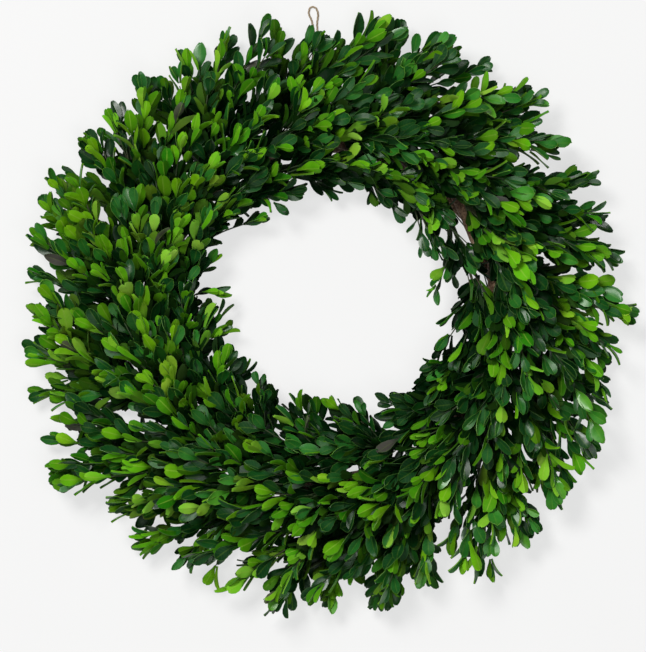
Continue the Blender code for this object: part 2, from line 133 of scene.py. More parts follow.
# Least height of a leaf, and the shares of leaves that are missing and faded
LEAF_FLOOR = 0.0012
LEAF_MISSING = 0.07
LEAF_FADED = 0.006
# How leaves sit on a sprig: distance between pairs, the share of the sprig that may carry them, where
# they may begin, how much of an end leaf stands short of the tip, and how far off the stem's middle a
# leaf starts
LEAF_PITCH = (0.0085, 0.0105)
LEAFY_SHARE = 0.8
LEAFY_START = 0.05
END_OVERLAP = 0.70
LEAF_OFFSET = 0.0008
END_SIZE = 0.90
# Degrees round the stem: of a pair and of the end leaves, how far the first pair and each leaf stray,
# and how far each next pair is turned on
PAIR_SIDES = (0, 180)
END_SIDES = (0, 120, 240)
FIRST_TURN = 25
SIDE_STRAY = 18
NEXT_TURN = 90
NEXT_STRAY = 12
# Least and most lean away from the stem, and by how much a whole sprig is opened out
PAIR_LEANS = (6, 36)
END_LEANS = (4, 22)
OPENNESS = (0.75, 1.3)
# A leaf that grows facing away from its wanted side by more than this turns over, and each then turns
# towards the wanted side by a share
TURN_OVER = -0.3
TURN_SHARES = (0.30, 0.75)
# Tones from 0, dark, to 1, pale: of sprigs, how their leaves spread about that, and what a sprig gains
# for its share of pale undersides over the middle share
SPRIG_TONES = (0.12, 0.62)
TONE_SPREAD = 0.16
PALE_TONE = 0.30
PALE_MIDDLE = 0.34
# How far a sprig's share of pale undersides strays, and its limits
PALE_STRAY = 0.34
PALE_LIMITS = (0.03, 0.9)

# Radius at each 15 degrees of the clock inside which only single sprigs reach into the opening
OUTLINE_STEP = 15.0
INNER_BULK = (
    0.152, 0.158, 0.161, 0.164, 0.165, 0.160, 0.165, 0.156, 0.120, 0.096, 0.084, 0.079,
    0.076, 0.074, 0.078, 0.080, 0.082, 0.084, 0.104, 0.144, 0.152, 0.144, 0.155, 0.152,
)
# The high inner sprigs end at this reach, whatever the reach of the low ones is
INNER_TOP = 0.118
INNER_STRAY = (-0.008, 0.006)
# How far the lowest sprigs of the face stay behind the inner bulk
FACE_BACK = 0.020
FACE_STRAY = (-0.016, 0.016)
# Places where the vine or a gap shows between the leaves, and the distance that leaves keep from them
BARE_SPOTS = (
    (0.123, 0.109), (0.127, 0.096), (0.138, 0.070), (0.145, 0.034), (-0.041, 0.180), (-0.015, -0.172),
    (0.118, 0.080), (-0.037, 0.134), (-0.121, 0.033), (0.122, -0.018), (-0.0145, 0.293),
    (0.128, 0.076), (0.130, 0.041), (0.134, -0.023), (-0.040, 0.141),
)
BARE_REACH = 0.0100
# Tips of the tufts at the rim and of those in the opening, as clock angle and radius
RIM_TUFTS = (
    (14, 0.303), (26, 0.297), (34, 0.303), (43, 0.307), (54, 0.296), (64, 0.303), (73, 0.298), (81, 0.294),
    (91, 0.305), (96, 0.290), (107, 0.302), (119, 0.297), (129, 0.293), (137, 0.306), (150, 0.311),
    (161, 0.294), (170, 0.304), (180, 0.297), (191, 0.302), (202, 0.300), (212, 0.299), (221, 0.300),
    (227, 0.290), (240, 0.323), (247, 0.310), (254, 0.311), (264, 0.307), (271, 0.300), (277, 0.302),
    (284, 0.309), (292, 0.313), (298, 0.311), (306, 0.303), (314, 0.302), (323, 0.300), (332, 0.301),
    (341, 0.302), (349, 0.296), (357, 0.284),
)
INNER_TUFTS = (
    (5, 0.117), (15, 0.126), (25, 0.122), (38, 0.119), (43, 0.130), (59, 0.108), (64, 0.116), (67, 0.127),
    (73, 0.134), (77, 0.127), (84, 0.102), (93, 0.109), (97, 0.121), (108, 0.117), (114, 0.118),
    (120, 0.106), (124, 0.118), (130, 0.115), (141, 0.104), (152, 0.100), (165, 0.091), (174, 0.096),
    (184, 0.083), (194, 0.092), (205, 0.089), (213, 0.093), (221, 0.097), (232, 0.089), (241, 0.092),
    (249, 0.096), (265, 0.093), (273, 0.095), (284, 0.107), (292, 0.126), (299, 0.128),
    (330, 0.118), (349, 0.132), (350, 0.122),
)
# Tufts that fill gaps behind those
RIM_FILL = (
    (57, 0.284), (61, 0.274), (79, 0.242), (82, 0.264), (100, 0.294), (102, 0.288), (130, 0.284),
    (154, 0.268), (192, 0.284), (200, 0.276), (257, 0.290), (293, 0.256), (297, 0.242), (309, 0.297),
    (327, 0.293), (341, 0.296),
)
INNER_FILL = ((177, 0.099), (204, 0.094), (224, 0.100), (275, 0.106), (341, 0.113))
# How far a sprig at the rim is drawn to its nearest tuft, and up to where tufts use the row's aims
TUFT_PULL = 0.45
TUFT_RISE = 0.7
# Share of the outer sprigs that reach the rim, and how far they and the rest stay behind it
RIM_SHARE = 0.40
RIM_STRAY = (-0.005, 0.008)
BACK_STRAY = (0.010, 0.064)
# A leaf is deep in the foliage when this many leaves lie above it, counted within these distances; that
# depth is painted on the leaf as shade
DEEP_COUNT = 4.8
DEEP_SPREAD = 0.015
DEEP_RISE = 0.004
# Light gets in at the rim: radii between which it grows, its share of the depth, and how much it
# lightens the dark leaves and evens out the pale ones
RIM_LIGHT = (0.225, 0.285)
RIM_OPEN = 0.4
RIM_TONE = 0.11

# Twine: the grooves between its plies, as a share of its radius, and the length of a turn of the plies
TWINE_RADIUS = 0.0011
TWINE_SIDES = 12
TWINE_PLIES = 3
TWINE_GROOVE = 0.22
TWINE_LAY = 0.0038
# The tie round the ring, and its knot
TIE_CLOCK = -5.4
TIE_TURNS = 2
TIE_CORNERS = 8
TIE_PITCH = 0.9
TIE_STEP = TWINE_LAY / 6
KNOT_SEAT = -22.5
KNOT_OUT = 0.0012
# Wraps of the knot: lean from the flat and turn about the upright, in degrees
KNOT_WRAPS = ((20, 0), (75, 50), (65, 120))
KNOT_WRAP_RADIUS = 0.0028
KNOT_WRAP_POINTS = 24
ROUTE_STEPS = 12
# The hanging loop's length and its route, as in the frame's source
LOOP_STEP = TWINE_LAY / 8
LOOP_ROUTE = (
    (-0.0196, 0.1905, 0.0115), (-0.0201, 0.1955, 0.0103), (-0.0205, 0.2040, 0.0055),
    (-0.0203, 0.2130, 0.0020), (-0.0195, 0.2230, 0.0013), (-0.0172, 0.2400, 0.0013),
    (-0.0144, 0.2600, 0.0013), (-0.0135, 0.2760, 0.0013), (-0.0160, 0.2900, 0.0013),
    (-0.0190, 0.2978, 0.0013), (-0.0172, 0.3038, 0.0013), (-0.0122, 0.3033, 0.0013),
    (-0.0098, 0.2970, 0.0013), (-0.0108, 0.2870, 0.0013), (-0.0100, 0.2740, 0.0013),
    (-0.0112, 0.2570, 0.0013), (-0.0140, 0.2380, 0.0013), (-0.0162, 0.2230, 0.0013),
    (-0.0170, 0.2130, 0.0020), (-0.0170, 0.2040, 0.0055), (-0.0167, 0.1955, 0.0103),
    (-0.0164, 0.1905, 0.0115),
)

# Binding wire: the seats where a turn starts and where the wire runs on to the next tie, and the
# degrees of the clock that a turn takes up
WIRE_RADIUS = 0.0007
WIRE_ROUNDNESS = 2
WIRE_CORNERS = 6
WIRE_START = -120.0
WIRE_RUN = -150.0
WIRE_ADVANCE = 1.0

# Points of a rod that lie closer than this are one point
MERGE_DISTANCE = 0.00001

# Stage: place, size, power and colour of each light
KEY_LIGHT = ((-2.0, 2.3, 5.1), 1.8, 286.0, (1.0, 0.99, 0.97))
FRONT_LIGHT = ((1.0, -1.0, 5.6), 3.2, 95.0, (0.97, 0.99, 1.0))
SKY_STRENGTH = 0.18
FLOOR_SIZE = 24
FLOOR_GLOW = 0.65

# Colour sockets of a Mix node, which has sockets of the same names for other kinds of value
MIX_COLOR_A = 6
MIX_COLOR_B = 7
MIX_COLOR = 2


class Wire:
    """A socket that arithmetic can be done on: each operator adds a Math node."""

    def __init__(self, finish, socket):
        self.finish = finish
        self.socket = socket

    def math(self, operation, *values):
        return self.finish.node("ShaderNodeMath", {"operation": operation}, dict(enumerate(values)))

    def __add__(self, other):
        return self.math("ADD", self, other)

    def __sub__(self, other):
        return self.math("SUBTRACT", self, other)

    def __rsub__(self, other):
        return self.math("SUBTRACT", other, self)

    def __mul__(self, other):
        return self.math("MULTIPLY", self, other)

    __radd__ = __add__
    __rmul__ = __mul__

    def absolute(self):
        return self.math("ABSOLUTE", self)

    def sine(self):
        return self.math("SINE", self)

    def above(self, low, high):
        """0 below low, 1 above high, and smooth between."""
        return self.finish.node("ShaderNodeMapRange", {"interpolation_type": "SMOOTHSTEP"},
                                {"Value": self, "From Min": low, "From Max": high})


class Finish:
    """A material that is put together from nodes."""

    def __init__(self, name):
        self.material = bpy.data.materials.new(name)
        self.material.use_nodes = True
        self.tree = self.material.node_tree
        self.shader = self.tree.nodes["Principled BSDF"]

    def feed(self, socket, value):
        if isinstance(value, Wire):
            self.tree.links.new(value.socket, socket)
        elif socket.type == "RGBA" and len(value) == 3:
            socket.default_value = (*value, 1)
        else:
            socket.default_value = value

    def node(self, kind, settings, inputs, output=0):
        """Adds a node, sets it up, fills its sockets, and gives one of its outputs."""
        made = self.tree.nodes.new(kind)
        for name, value in settings.items():
            if name == "stops":
                self.set_stops(made.color_ramp, value)
            else:
                setattr(made, name, value)
        for name, value in inputs.items():
            self.feed(made.inputs[name], value)
        return Wire(self, made.outputs[output])

    @staticmethod
    def set_stops(ramp, stops):
        while len(ramp.elements) < len(stops):
            ramp.elements.new(0.5)
        for element, (place, color) in zip(ramp.elements, stops):
            element.position = place
            element.color = (*color, 1)

    def ramp(self, value, stops):
        return self.node("ShaderNodeValToRGB", {"stops": stops}, {"Fac": value})

    def blend(self, share, a, b, how="MIX"):
        """Mixes two colours."""
        return self.node("ShaderNodeMix", {"data_type": "RGBA", "blend_type": how},
                         {0: share, MIX_COLOR_A: a, MIX_COLOR_B: b}, MIX_COLOR)

    def attribute(self, name):
        return self.node("ShaderNodeAttribute", {"attribute_name": name}, {}, "Fac")

    def place(self):
        """Where a point of the object is."""
        return self.node("ShaderNodeTexCoord", {}, {}, "Object")

    def noise(self, vector, scale, detail=3.0, roughness=0.55):
        return self.node("ShaderNodeTexNoise", {},
                         {"Vector": vector, "Scale": scale, "Detail": detail, "Roughness": roughness})

    def bump(self, height, distance, strength=1.0):
        return self.node("ShaderNodeBump", {},
                         {"Height": height, "Distance": distance, "Strength": strength})

    def shade(self, sockets):
        for name, value in sockets.items():
            self.feed(self.shader.inputs[name], value)
        return self.material


def leaf_finish():
    """Dark and glossy on top, yellow-green and dull underneath, with a pale rib, and shade painted deep in
    the foliage and at each leaf's base.
    """
    leaf = Finish("boxwood_leaf")
    uv = leaf.node("ShaderNodeUVMap", {"uv_map": "leaf"}, {})
    across = leaf.node("ShaderNodeSeparateXYZ", {}, {"Vector": uv}, "X")
    along = leaf.node("ShaderNodeSeparateXYZ", {}, {"Vector": uv}, "Y")
    off_rib = (across - 0.5).absolute() * 2.0
    tone = leaf.attribute("tone")
    under = leaf.attribute("under")
    mottle = leaf.noise(leaf.place(), 120.0)
    drift = leaf.noise(leaf.place(), 28.0, 1.0)
    shade = tone + (mottle - 0.5) * 0.22

    top = leaf.ramp(shade, ((0.0, (0.001, 0.027, 0.005)), (0.40, (0.006, 0.074, 0.012)),
                            (0.75, (0.025, 0.185, 0.018)), (1.0, (0.085, 0.315, 0.020))))
    back = leaf.ramp(shade, ((0.0, (0.022, 0.175, 0.003)), (0.5, (0.150, 0.430, 0.006)),
                             (1.0, (0.320, 0.590, 0.070))))
    color = leaf.blend(under, top, back)
    color = leaf.blend(drift.above(0.50, 0.68) * 0.7, color, (1.12, 0.94, 0.50), "MULTIPLY")
    color = leaf.blend((1 - drift.above(0.34, 0.50)) * 0.7, color, (0.76, 1.04, 0.80), "MULTIPLY")
    color = leaf.blend(leaf.attribute("faded") * 0.9, color, (0.085, 0.070, 0.068))
    rib = 1 - off_rib.above(0.02, 0.15)
    veins = (off_rib * 9.0 - along * 50.0).sine().above(0.75, 1.0)
    color = leaf.blend(rib * (under * 0.35 + 0.12), color, (0.270, 0.460, 0.050))
    color = leaf.blend(veins * 0.10, color, (0.150, 0.300, 0.030))
    color = leaf.blend(off_rib.above(0.92, 1.0) * 0.45, color, (0.120, 0.230, 0.060))
    # Painted shade: each leaf darker towards its base, where it goes under the others
    color = leaf.blend((1 - along.above(0.02, 0.60)) * 0.75, color, (0.28, 0.36, 0.30), "MULTIPLY")
    # Painted shade: leaves deep in the foliage are darkened to near-black green, and their coat fades with
    # it
    depth = leaf.attribute("depth")
    color = leaf.blend(depth * 0.96, color, (0.0005, 0.010, 0.0015))
    waves = leaf.noise(leaf.place(), 85.0, 1.0)
    height = rib * (under * 2.0 - 1.0) * 0.5 + veins * 0.25 + mottle + waves * 6.0
    return leaf.shade({"Base Color": color, "Roughness": under * 0.16 + mottle * 0.14 + 0.36,
                       "Specular IOR Level": 0.07,
                       "Coat Weight": (1 - under) * (1 - depth) * (mottle * 0.9 + 0.40),
                       "Coat Roughness": 0.34, "Normal": leaf.bump(height, 0.0002, 0.6)})


def stem_finish():
    stem = Finish("boxwood_stem")
    grain = stem.noise(stem.place(), 260.0)
    patches = stem.noise(stem.place(), 24.0, 1.0)
    color = stem.blend(patches.above(0.50, 0.75), (0.020, 0.045, 0.008), (0.055, 0.050, 0.020))
    color = stem.blend(grain * 0.5, color, (0.012, 0.022, 0.006))
    return stem.shade({"Base Color": color, "Roughness": 0.72, "Normal": stem.bump(grain, 0.0003, 0.6)})


def bark_finish():
    bark = Finish("vine_bark")
    place = bark.place()
    fibres = bark.noise(place, 420.0, 4.0, 0.7)
    patches = bark.noise(place, 45.0, 3.0)
    color = bark.ramp(patches, ((0.30, (0.085, 0.046, 0.024)), (0.50, (0.180, 0.108, 0.060)),
                                (0.70, (0.340, 0.235, 0.150))))
    color = bark.blend(fibres.above(0.35, 0.62), color, (0.300, 0.215, 0.135), "MULTIPLY")
    color = bark.blend(patches.above(0.56, 0.75) * 0.4, color, (0.330, 0.250, 0.165))
    return bark.shade({"Base Color": color, "Roughness": 0.88 - patches * 0.1,
                       "Normal": bark.bump(fibres + patches, 0.0012, 0.9)})


def wire_finish():
    wire = Finish("green_wire")
    worn = wire.noise(wire.place(), 180.0)
    color = wire.blend(worn.above(0.52, 0.68), (0.016, 0.050, 0.018), (0.060, 0.085, 0.045))
    return wire.shade({"Base Color": color, "Roughness": worn * 0.2 + 0.38,
                       "Normal": wire.bump(worn, 0.0001, 0.4)})


def twine_finish():
    """Fibres that run along the plies, with shade painted in the grooves between them."""
    twine = Finish("natural_twine")
    uv = twine.node("ShaderNodeUVMap", {"uv_map": "twine"}, {})
    stretched = twine.node("ShaderNodeMapping", {}, {"Vector": uv, "Scale": (14.0, 90.0, 1.0)})
    fibres = twine.noise(stretched, 3.0, 4.0, 0.7)
    patches = twine.noise(twine.place(), 90.0)
    groove = twine.attribute("groove")
    color = twine.ramp(fibres * 0.6 + patches * 0.4, ((0.30, (0.220, 0.155, 0.095)),
                                                     (0.52, (0.440, 0.345, 0.235)),
                                                     (0.75, (0.660, 0.560, 0.420))))
    # Painted shade: darker in the grooves between the plies
    color = twine.blend(groove * 0.75, color, (0.110, 0.065, 0.032))
    return twine.shade({"Base Color": color, "Roughness": fibres * 0.1 + 0.86,
                        "Normal": twine.bump(fibres, 0.0005, 0.9)})


def floor_finish():
    floor = Finish("pale_floor")
    grain = floor.noise(floor.place(), 6.0)
    color = floor.blend(grain, (0.225, 0.225, 0.225), (0.240, 0.240, 0.240))
    return floor.shade({"Base Color": color, "Roughness": 0.8, "Emission Color": (1, 1, 1),
                        "Emission Strength": FLOOR_GLOW})


def deselect_all():
    for obj in bpy.context.selected_objects:
        obj.select_set(False)


def own(obj, name, finish):
    """Names a finished piece, gives it its material and slot, and lets it ride on the wreath."""
    obj.name = name
    obj.data.name = name
    obj.data.materials.clear()
    obj.data.materials.append(finish)
    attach(obj, "root")
    return obj


def mesh_object(name, points, faces):
    mesh = bpy.data.meshes.new(name)
    mesh.from_pydata(points, [], faces)
    obj = bpy.data.objects.new(name, mesh)
    bpy.context.scene.collection.objects.link(obj)
    return obj


def point_values(mesh, name, values):
    mesh.attributes.new(name, "FLOAT", "POINT").data.foreach_set("value", values)


def curve_piece(paths, radius, resolution, closed=False):
    """A mesh of round rods along paths of (point, share of the radius)."""
    curve = bpy.data.curves.new("rods", "CURVE")
    curve.dimensions = "3D"
    curve.bevel_depth = radius
    curve.bevel_resolution = resolution
    curve.use_fill_caps = not closed
    for path in paths:
        spline = curve.splines.new("POLY")
        spline.points.add(len(path) - 1)
        spline.use_cyclic_u = closed
        for target, (point, share) in zip(spline.points, path):
            target.co = (*point, 1)
            target.radius = share
    obj = bpy.data.objects.new("rods", curve)
    bpy.context.scene.collection.objects.link(obj)
    deselect_all()
    bpy.context.view_layer.objects.active = obj
    obj.select_set(True)
    bpy.ops.object.convert(target="MESH")
    made = bpy.context.object
    bpy.ops.object.mode_set(mode="EDIT")
    bpy.ops.mesh.select_all(action="SELECT")
    bpy.ops.mesh.remove_doubles(threshold=MERGE_DISTANCE)
    bpy.ops.mesh.normals_make_consistent(inside=False)
    bpy.ops.object.mode_set(mode="OBJECT")
    bpy.ops.object.shade_smooth()
    return made


def clamp(value, low, high):
    return min(max(value, low), high)


def radial(clock):
    a = math.radians(clock)
    return Vector((math.sin(a), math.cos(a), 0))


def onward(clock):
    a = math.radians(clock)
    return Vector((math.cos(a), -math.sin(a), 0))


def outward(clock, seat):
    s = math.radians(seat)
    return radial(clock) * math.cos(s) + UP * math.sin(s)


def ring_middle(clock):
    bow = (1 - math.cos(REST_COUNT * math.radians(clock - REST_CLOCK))) / 2
    height = STRAND_SPREAD + STRAND_RADIUS * math.cos(math.pi / STRAND_SIDES) - REST_PRESS + RING_BOW * bow
    return radial(clock) * RING_RADIUS + UP * height


def section_point(clock, across, up):
    return ring_middle(clock) + radial(clock) * across + UP * up


def strand_discs(clock):
    """The strands' sections at a clock angle, as (across, up, radius) about the ring's middle."""
    discs = []
    for strand in range(STRAND_COUNT):
        seat = math.radians(TWISTS * (clock - REST_CLOCK) - 90 + strand * 360 / STRAND_COUNT)
        discs.append((STRAND_SPREAD * math.cos(seat), STRAND_SPREAD * math.sin(seat), STRAND_RADIUS))
    return discs


def support(discs, seat):
    """How far the discs reach from the ring's middle in a direction."""
    s = math.radians(seat)
    return max(x * math.cos(s) + y * math.sin(s) + r for x, y, r in discs)


def taut_corner(discs, seat, step, offset):
    """Corner of a band pulled tight round the discs, between the directions seat and seat + step."""
    near, far = support(discs, seat) + offset, support(discs, seat + step) + offset
    a, b = math.radians(seat), math.radians(seat + step)
    det = math.sin(b - a)
    return (near * math.sin(b) - far * math.sin(a)) / det, (far * math.cos(a) - near * math.cos(b)) / det


def core_radius(past_tie):
    share = (past_tie - CORE_TAIL) / (CORE_END - CORE_TAIL)
    return CORE_TAIL_RADIUS + (CORE_END_RADIUS - CORE_TAIL_RADIUS) * share


def core_distance(row, past_tie):
    """From the ring's middle to the middle of a bunch's core."""
    return STRAND_SPREAD + STRAND_RADIUS + CLEARANCE - row.sink + core_radius(past_tie)


def core_point(tie, row, past_tie):
    clock = tie + past_tie
    return ring_middle(clock) + outward(clock, row.seat) * core_distance(row, past_tie)


def tie_clocks():
    return [FIRST_TIE + SECTOR * k for k in range(SECTOR_COUNT)]


def smooth_route(points, sample):
    """Points at even distances along a Catmull-Rom curve through the route's own points."""
    ends = [points[0] * 2 - points[1]] + points + [points[-1] * 2 - points[-2]]
    fine = []
    for a, b, c, d in zip(ends, ends[1:], ends[2:], ends[3:]):
        for k in range(ROUTE_STEPS):
            t = k / ROUTE_STEPS
            fine.append(0.5 * ((2 * b) + (c - a) * t + (2 * a - 5 * b + 4 * c - d) * t * t
                               + (3 * b - 3 * c + d - a) * t * t * t))
    fine.append(points[-1])
    walked = [0.0]
    for a, b in zip(fine, fine[1:]):
        walked.append(walked[-1] + (b - a).length)
    count = round(walked[-1] / sample)
    route = []
    for k in range(count + 1):
        goal = walked[-1] * k / count
        i = max(j for j in range(len(fine) - 1) if walked[j] <= goal)
        route.append(fine[i].lerp(fine[i + 1], (goal - walked[i]) / (walked[i + 1] - walked[i])))
    return route


def camera():
    """Straight above, framed so that a pixel of the photograph is PHOTO_SCALE at the leaves."""
    x = (PHOTO_SIZE[0] / 2 - PHOTO_ORIGIN[0]) * PHOTO_SCALE
    y = (PHOTO_ORIGIN[1] - PHOTO_SIZE[1] / 2) * PHOTO_SCALE
    data = bpy.data.cameras.new("camera")
    data.sensor_width = SENSOR
    data.lens = SENSOR * (CAMERA_HEIGHT - FOCUS_HEIGHT) / (max(PHOTO_SIZE) * PHOTO_SCALE)
    made = bpy.data.objects.new("camera", data)
    made.location = (x, y, CAMERA_HEIGHT)
    bpy.context.scene.collection.objects.link(made)
    bpy.context.scene.camera = made


def twisted_twine(name, points):
    """Twine of three plies: a lobed section that turns as it goes along the points."""
    rings, faces, uvs, grooves = [], [], [], []
    side = (points[1] - points[0]).orthogonal().normalized()
    walked = [0.0]
    for i, point in enumerate(points):
        ahead = (points[min(i + 1, len(points) - 1)] - points[max(i - 1, 0)]).normalized()
        side = (side - ahead * side.dot(ahead)).normalized()
        other = ahead.cross(side)
        if i:
            walked.append(walked[-1] + (point - points[i - 1]).length)
        for k in range(TWINE_SIDES):
            a = 2 * math.pi * k / TWINE_SIDES
            groove = (1 + math.cos(TWINE_PLIES * a - 2 * math.pi * walked[-1] / TWINE_LAY)) / 2
            rings.append(point + (side * math.cos(a) + other * math.sin(a))
                         * TWINE_RADIUS * (1 - TWINE_GROOVE * groove))
            # How much shade is painted at this point of a groove
            grooves.append(groove ** 2)
    for i in range(len(points) - 1):
        for k in range(TWINE_SIDES):
            low, high, n = i * TWINE_SIDES, (i + 1) * TWINE_SIDES, (k + 1) % TWINE_SIDES
            faces.append((low + k, low + n, high + n, high + k))
            for column, row in ((k, i), (k + 1, i), (k + 1, i + 1), (k, i + 1)):
                uvs.append((column / TWINE_SIDES - walked[row] / (TWINE_PLIES * TWINE_LAY),
                            walked[row] / TWINE_LAY))
    # The two ends
    faces.append(tuple(reversed(range(TWINE_SIDES))))
    faces.append(tuple(range(len(rings) - TWINE_SIDES, len(rings))))
    uvs += [(0.0, 0.0)] * (2 * TWINE_SIDES)
    obj = mesh_object(name, rings, faces)
    obj.data.uv_layers.new(name="twine").data.foreach_set("uv", np.array(uvs).ravel())
    point_values(obj.data, "groove", grooves)
    obj.data.shade_smooth()
    return obj


def hanging_loop(finish):
    route = smooth_route([Vector(p) for p in LOOP_ROUTE], LOOP_STEP)
    loop = own(twisted_twine("hanging_loop", route), "hanging_loop", finish)
    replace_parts(loop, "twine_loop")


def twine_tie(finish):
    """Two turns of twine round the bare ring, and the knot that the loop comes out of."""
    step = 360 / TIE_CORNERS
    corners = []
    for corner in range(TIE_TURNS * TIE_CORNERS + 1):
        clock = TIE_CLOCK + TIE_PITCH * (corner / TIE_CORNERS - TIE_TURNS / 2)
        across, up = taut_corner(strand_discs(clock), KNOT_SEAT + step * (corner - 0.5), step,
                                 CLEARANCE + TWINE_RADIUS)
        corners.append(section_point(clock, across, up))
    route = smooth_route(corners, TIE_STEP)
    for point in route:
        point.z = max(point.z, TWINE_RADIUS)
    turns = twisted_twine("turns", route)
    reach = support(strand_discs(TIE_CLOCK), KNOT_SEAT) + CLEARANCE + TWINE_RADIUS
    middle = ring_middle(TIE_CLOCK) + outward(TIE_CLOCK, KNOT_SEAT) * reach + radial(TIE_CLOCK) * KNOT_OUT
    wraps = [turns]
    for lean, turn in KNOT_WRAPS:
        tilt = Matrix.Rotation(math.radians(turn), 3, "Z") @ Matrix.Rotation(math.radians(lean), 3, "X")
        circle = []
        for k in range(KNOT_WRAP_POINTS + 1):
            a = 2 * math.pi * k / KNOT_WRAP_POINTS
            circle.append(middle + tilt @ Vector((math.cos(a), math.sin(a), 0)) * KNOT_WRAP_RADIUS)
        wraps.append(twisted_twine("wrap", circle))
    deselect_all()
    for wrap in wraps:
        wrap.select_set(True)
    bpy.context.view_layer.objects.active = turns
    bpy.ops.object.join()
    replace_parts(own(turns, "tie_and_knot", finish), "twine_tie")


def barked_strand(number, finish):
    """A round strand with knobbly bark, flat where it rests on the table."""
    path = []
    for i in range(BARK_STATIONS):
        clock = REST_CLOCK + 360 * i / BARK_STATIONS
        x, y, _ = strand_discs(clock)[number]
        path.append((section_point(clock, x, y), 1.0))
    strand = curve_piece([path], STRAND_RADIUS * BARK_CORE, BARK_ROUNDNESS, closed=True)
    grain = bpy.data.textures.new("bark grain", "CLOUDS")
    grain.noise_scale = BARK_GRAIN
    knobs = strand.modifiers.new("bark", "DISPLACE")
    knobs.texture = grain
    knobs.strength = BARK_DEPTH
    knobs.mid_level = 0.5
    bpy.ops.object.modifier_apply(modifier="bark")
    for vertex in strand.data.vertices:
        vertex.co.z = max(vertex.co.z, 0.0)
    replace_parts(own(strand, f"vine_bark_{number + 1}", finish), f"vine_strand_{number + 1}")


def binding_wire(finish):
    """One turn at each tie, pulled tight round strands and cores, then on to the next tie at the back."""
    offset = CLEARANCE + WIRE_RADIUS
    step = 360 / WIRE_CORNERS
    ties = sorted(tie_clocks(), key=lambda tie: (tie - TIE_CLOCK) % 360)
    points = []
    for tie in ties:
        for corner in range(WIRE_CORNERS + 1):
            past = WIRE_ADVANCE * (corner / WIRE_CORNERS - 0.5)
            clock = tie + past
            discs = strand_discs(clock)
            for row in ROWS:
                reach = core_distance(row, past)
                s = math.radians(row.seat)
                discs.append((reach * math.cos(s), reach * math.sin(s), core_radius(past)))
            across, up = taut_corner(discs, WIRE_START + step * (corner - 0.5), step, offset)
            points.append(section_point(clock, across, up))
        if tie is not ties[-1]:
            clock = tie + SECTOR / 2
            reach = support(strand_discs(clock), WIRE_RUN) + offset
            points.append(ring_middle(clock) + outward(clock, WIRE_RUN) * reach)
    wire = curve_piece([[(point, 1.0) for point in points]], WIRE_RADIUS, WIRE_ROUNDNESS)
    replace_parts(own(wire, "green_wire", finish), "binding_wire")


Aim = namedtuple("Aim", "fan turn radius height side_lean")


@dataclass
class Row:
    """One row of bunches."""

    name: str
    # Its seat on the ring and how far it sinks in
    seat: float
    sink: float
    # The sprigs of a bunch, spread over the row's aims from the share low upward, and the length of
    # a sprig that carries leaves
    sprigs: int
    low: float
    leafy: float
    # Share of its leaves that show their pale underside, how much that swings round the clock, and
    # the clock angle where it peaks
    pale: tuple
    # The tufts, and more that fill gaps. A tuft belongs to the bunch that lies about a turn back from
    # it, and its leafy length and leaf size are shares of those of the other sprigs.
    tufts: tuple
    fill: tuple
    turn: float
    tuft_leafy: float
    tuft_size: float
    aims: tuple


# Aims of the sprigs: fan at the core, turn to the tip, radius, height of the tip, side lean. The radius
# counts from the rim's tufts in the outer row and from the inner bulk in the inner row.
ROWS = (
    Row(name="outer", seat=2.0, sink=0.0010, sprigs=12, low=0.0, leafy=0.074, pale=(0.40, 0.12, 245.0),
        tufts=RIM_TUFTS, fill=RIM_FILL, turn=20.0, tuft_leafy=0.8, tuft_size=0.88,
        aims=((-60.0, 12.0, 0.0, 0.016, 0.1), (10.0, 20.0, 0.0, 0.040, 0.3),
              (85.0, 27.5, 0.0, 0.068, 0.2))),
    Row(name="face", seat=84.0, sink=0.0, sprigs=15, low=0.0, leafy=0.060, pale=(0.40, 0.12, 245.0),
        tufts=(), fill=(), turn=0.0, tuft_leafy=1.0, tuft_size=1.0,
        aims=((170.0, 33.0, 0.153, 0.068, -0.3), (80.0, 29.0, 0.207, 0.084, 0.2),
              (-10.0, 23.0, 0.246, 0.058, 0.5))),
    Row(name="inner", seat=163.0, sink=0.0, sprigs=8, low=0.25, leafy=0.055, pale=(0.24, 0.15, 305.0),
        tufts=INNER_TUFTS, fill=INNER_FILL, turn=28.0, tuft_leafy=0.5, tuft_size=0.76,
        aims=((200.0, 22.0, 0.002, 0.024, -0.5), (110.0, 32.0, 0.012, 0.050, -0.6),
              (80.0, 40.0, 0.046, 0.064, -0.5))),
)


def aim_at(row, share):
    """The row's aim at a share of the way through its table."""
    place = share * (len(row.aims) - 1)
    i = min(int(place), len(row.aims) - 2)
    return Aim(*(a + (b - a) * (place - i) for a, b in zip(row.aims[i], row.aims[i + 1])))


def outline(table, clock):
    """Radius of an outline at a clock angle, from its table of radii."""
    place = (clock % 360) / OUTLINE_STEP
    i = int(place)
    return table[i % len(table)] * (1 - place + i) + table[(i + 1) % len(table)] * (place - i)


def nearest_tuft(clock):
    """Degrees to the nearest tuft of the rim, and its reach."""
    return min((((c - clock + 180) % 360 - 180, reach) for c, reach in RIM_TUFTS), key=lambda t: abs(t[0]))


class Sprig:
    """A twig on one smooth curve, which sways a little from side to side."""

    def __init__(self, root, lead, tip, root_facing, tip_facing, sway):
        self.leafy = 1.0
        self.size = 1.0
        self.path = (root, lead, tip)
        self.sway = sway
        self.facing = (root_facing, tip_facing)
        self.length = ((lead - root).length + (tip - lead).length + (tip - root).length) / 2

    def at(self, t):
        a, b, c = self.path
        sway = self.sway * (math.sin(SWAY_TURNS * math.pi * t) * t)
        return a * (1 - t) ** 2 + b * (2 * t * (1 - t)) + c * t * t + sway

    def frame(self, t):
        """Place, direction along, direction to the left and facing at a share of the way."""
        along = (self.at(t + 0.01) - self.at(t - 0.01)).normalized()
        facing = self.facing[0].lerp(self.facing[1], t)
        facing = (facing - along * facing.dot(along)).normalized()
        return self.at(t), along, facing.cross(along), facing


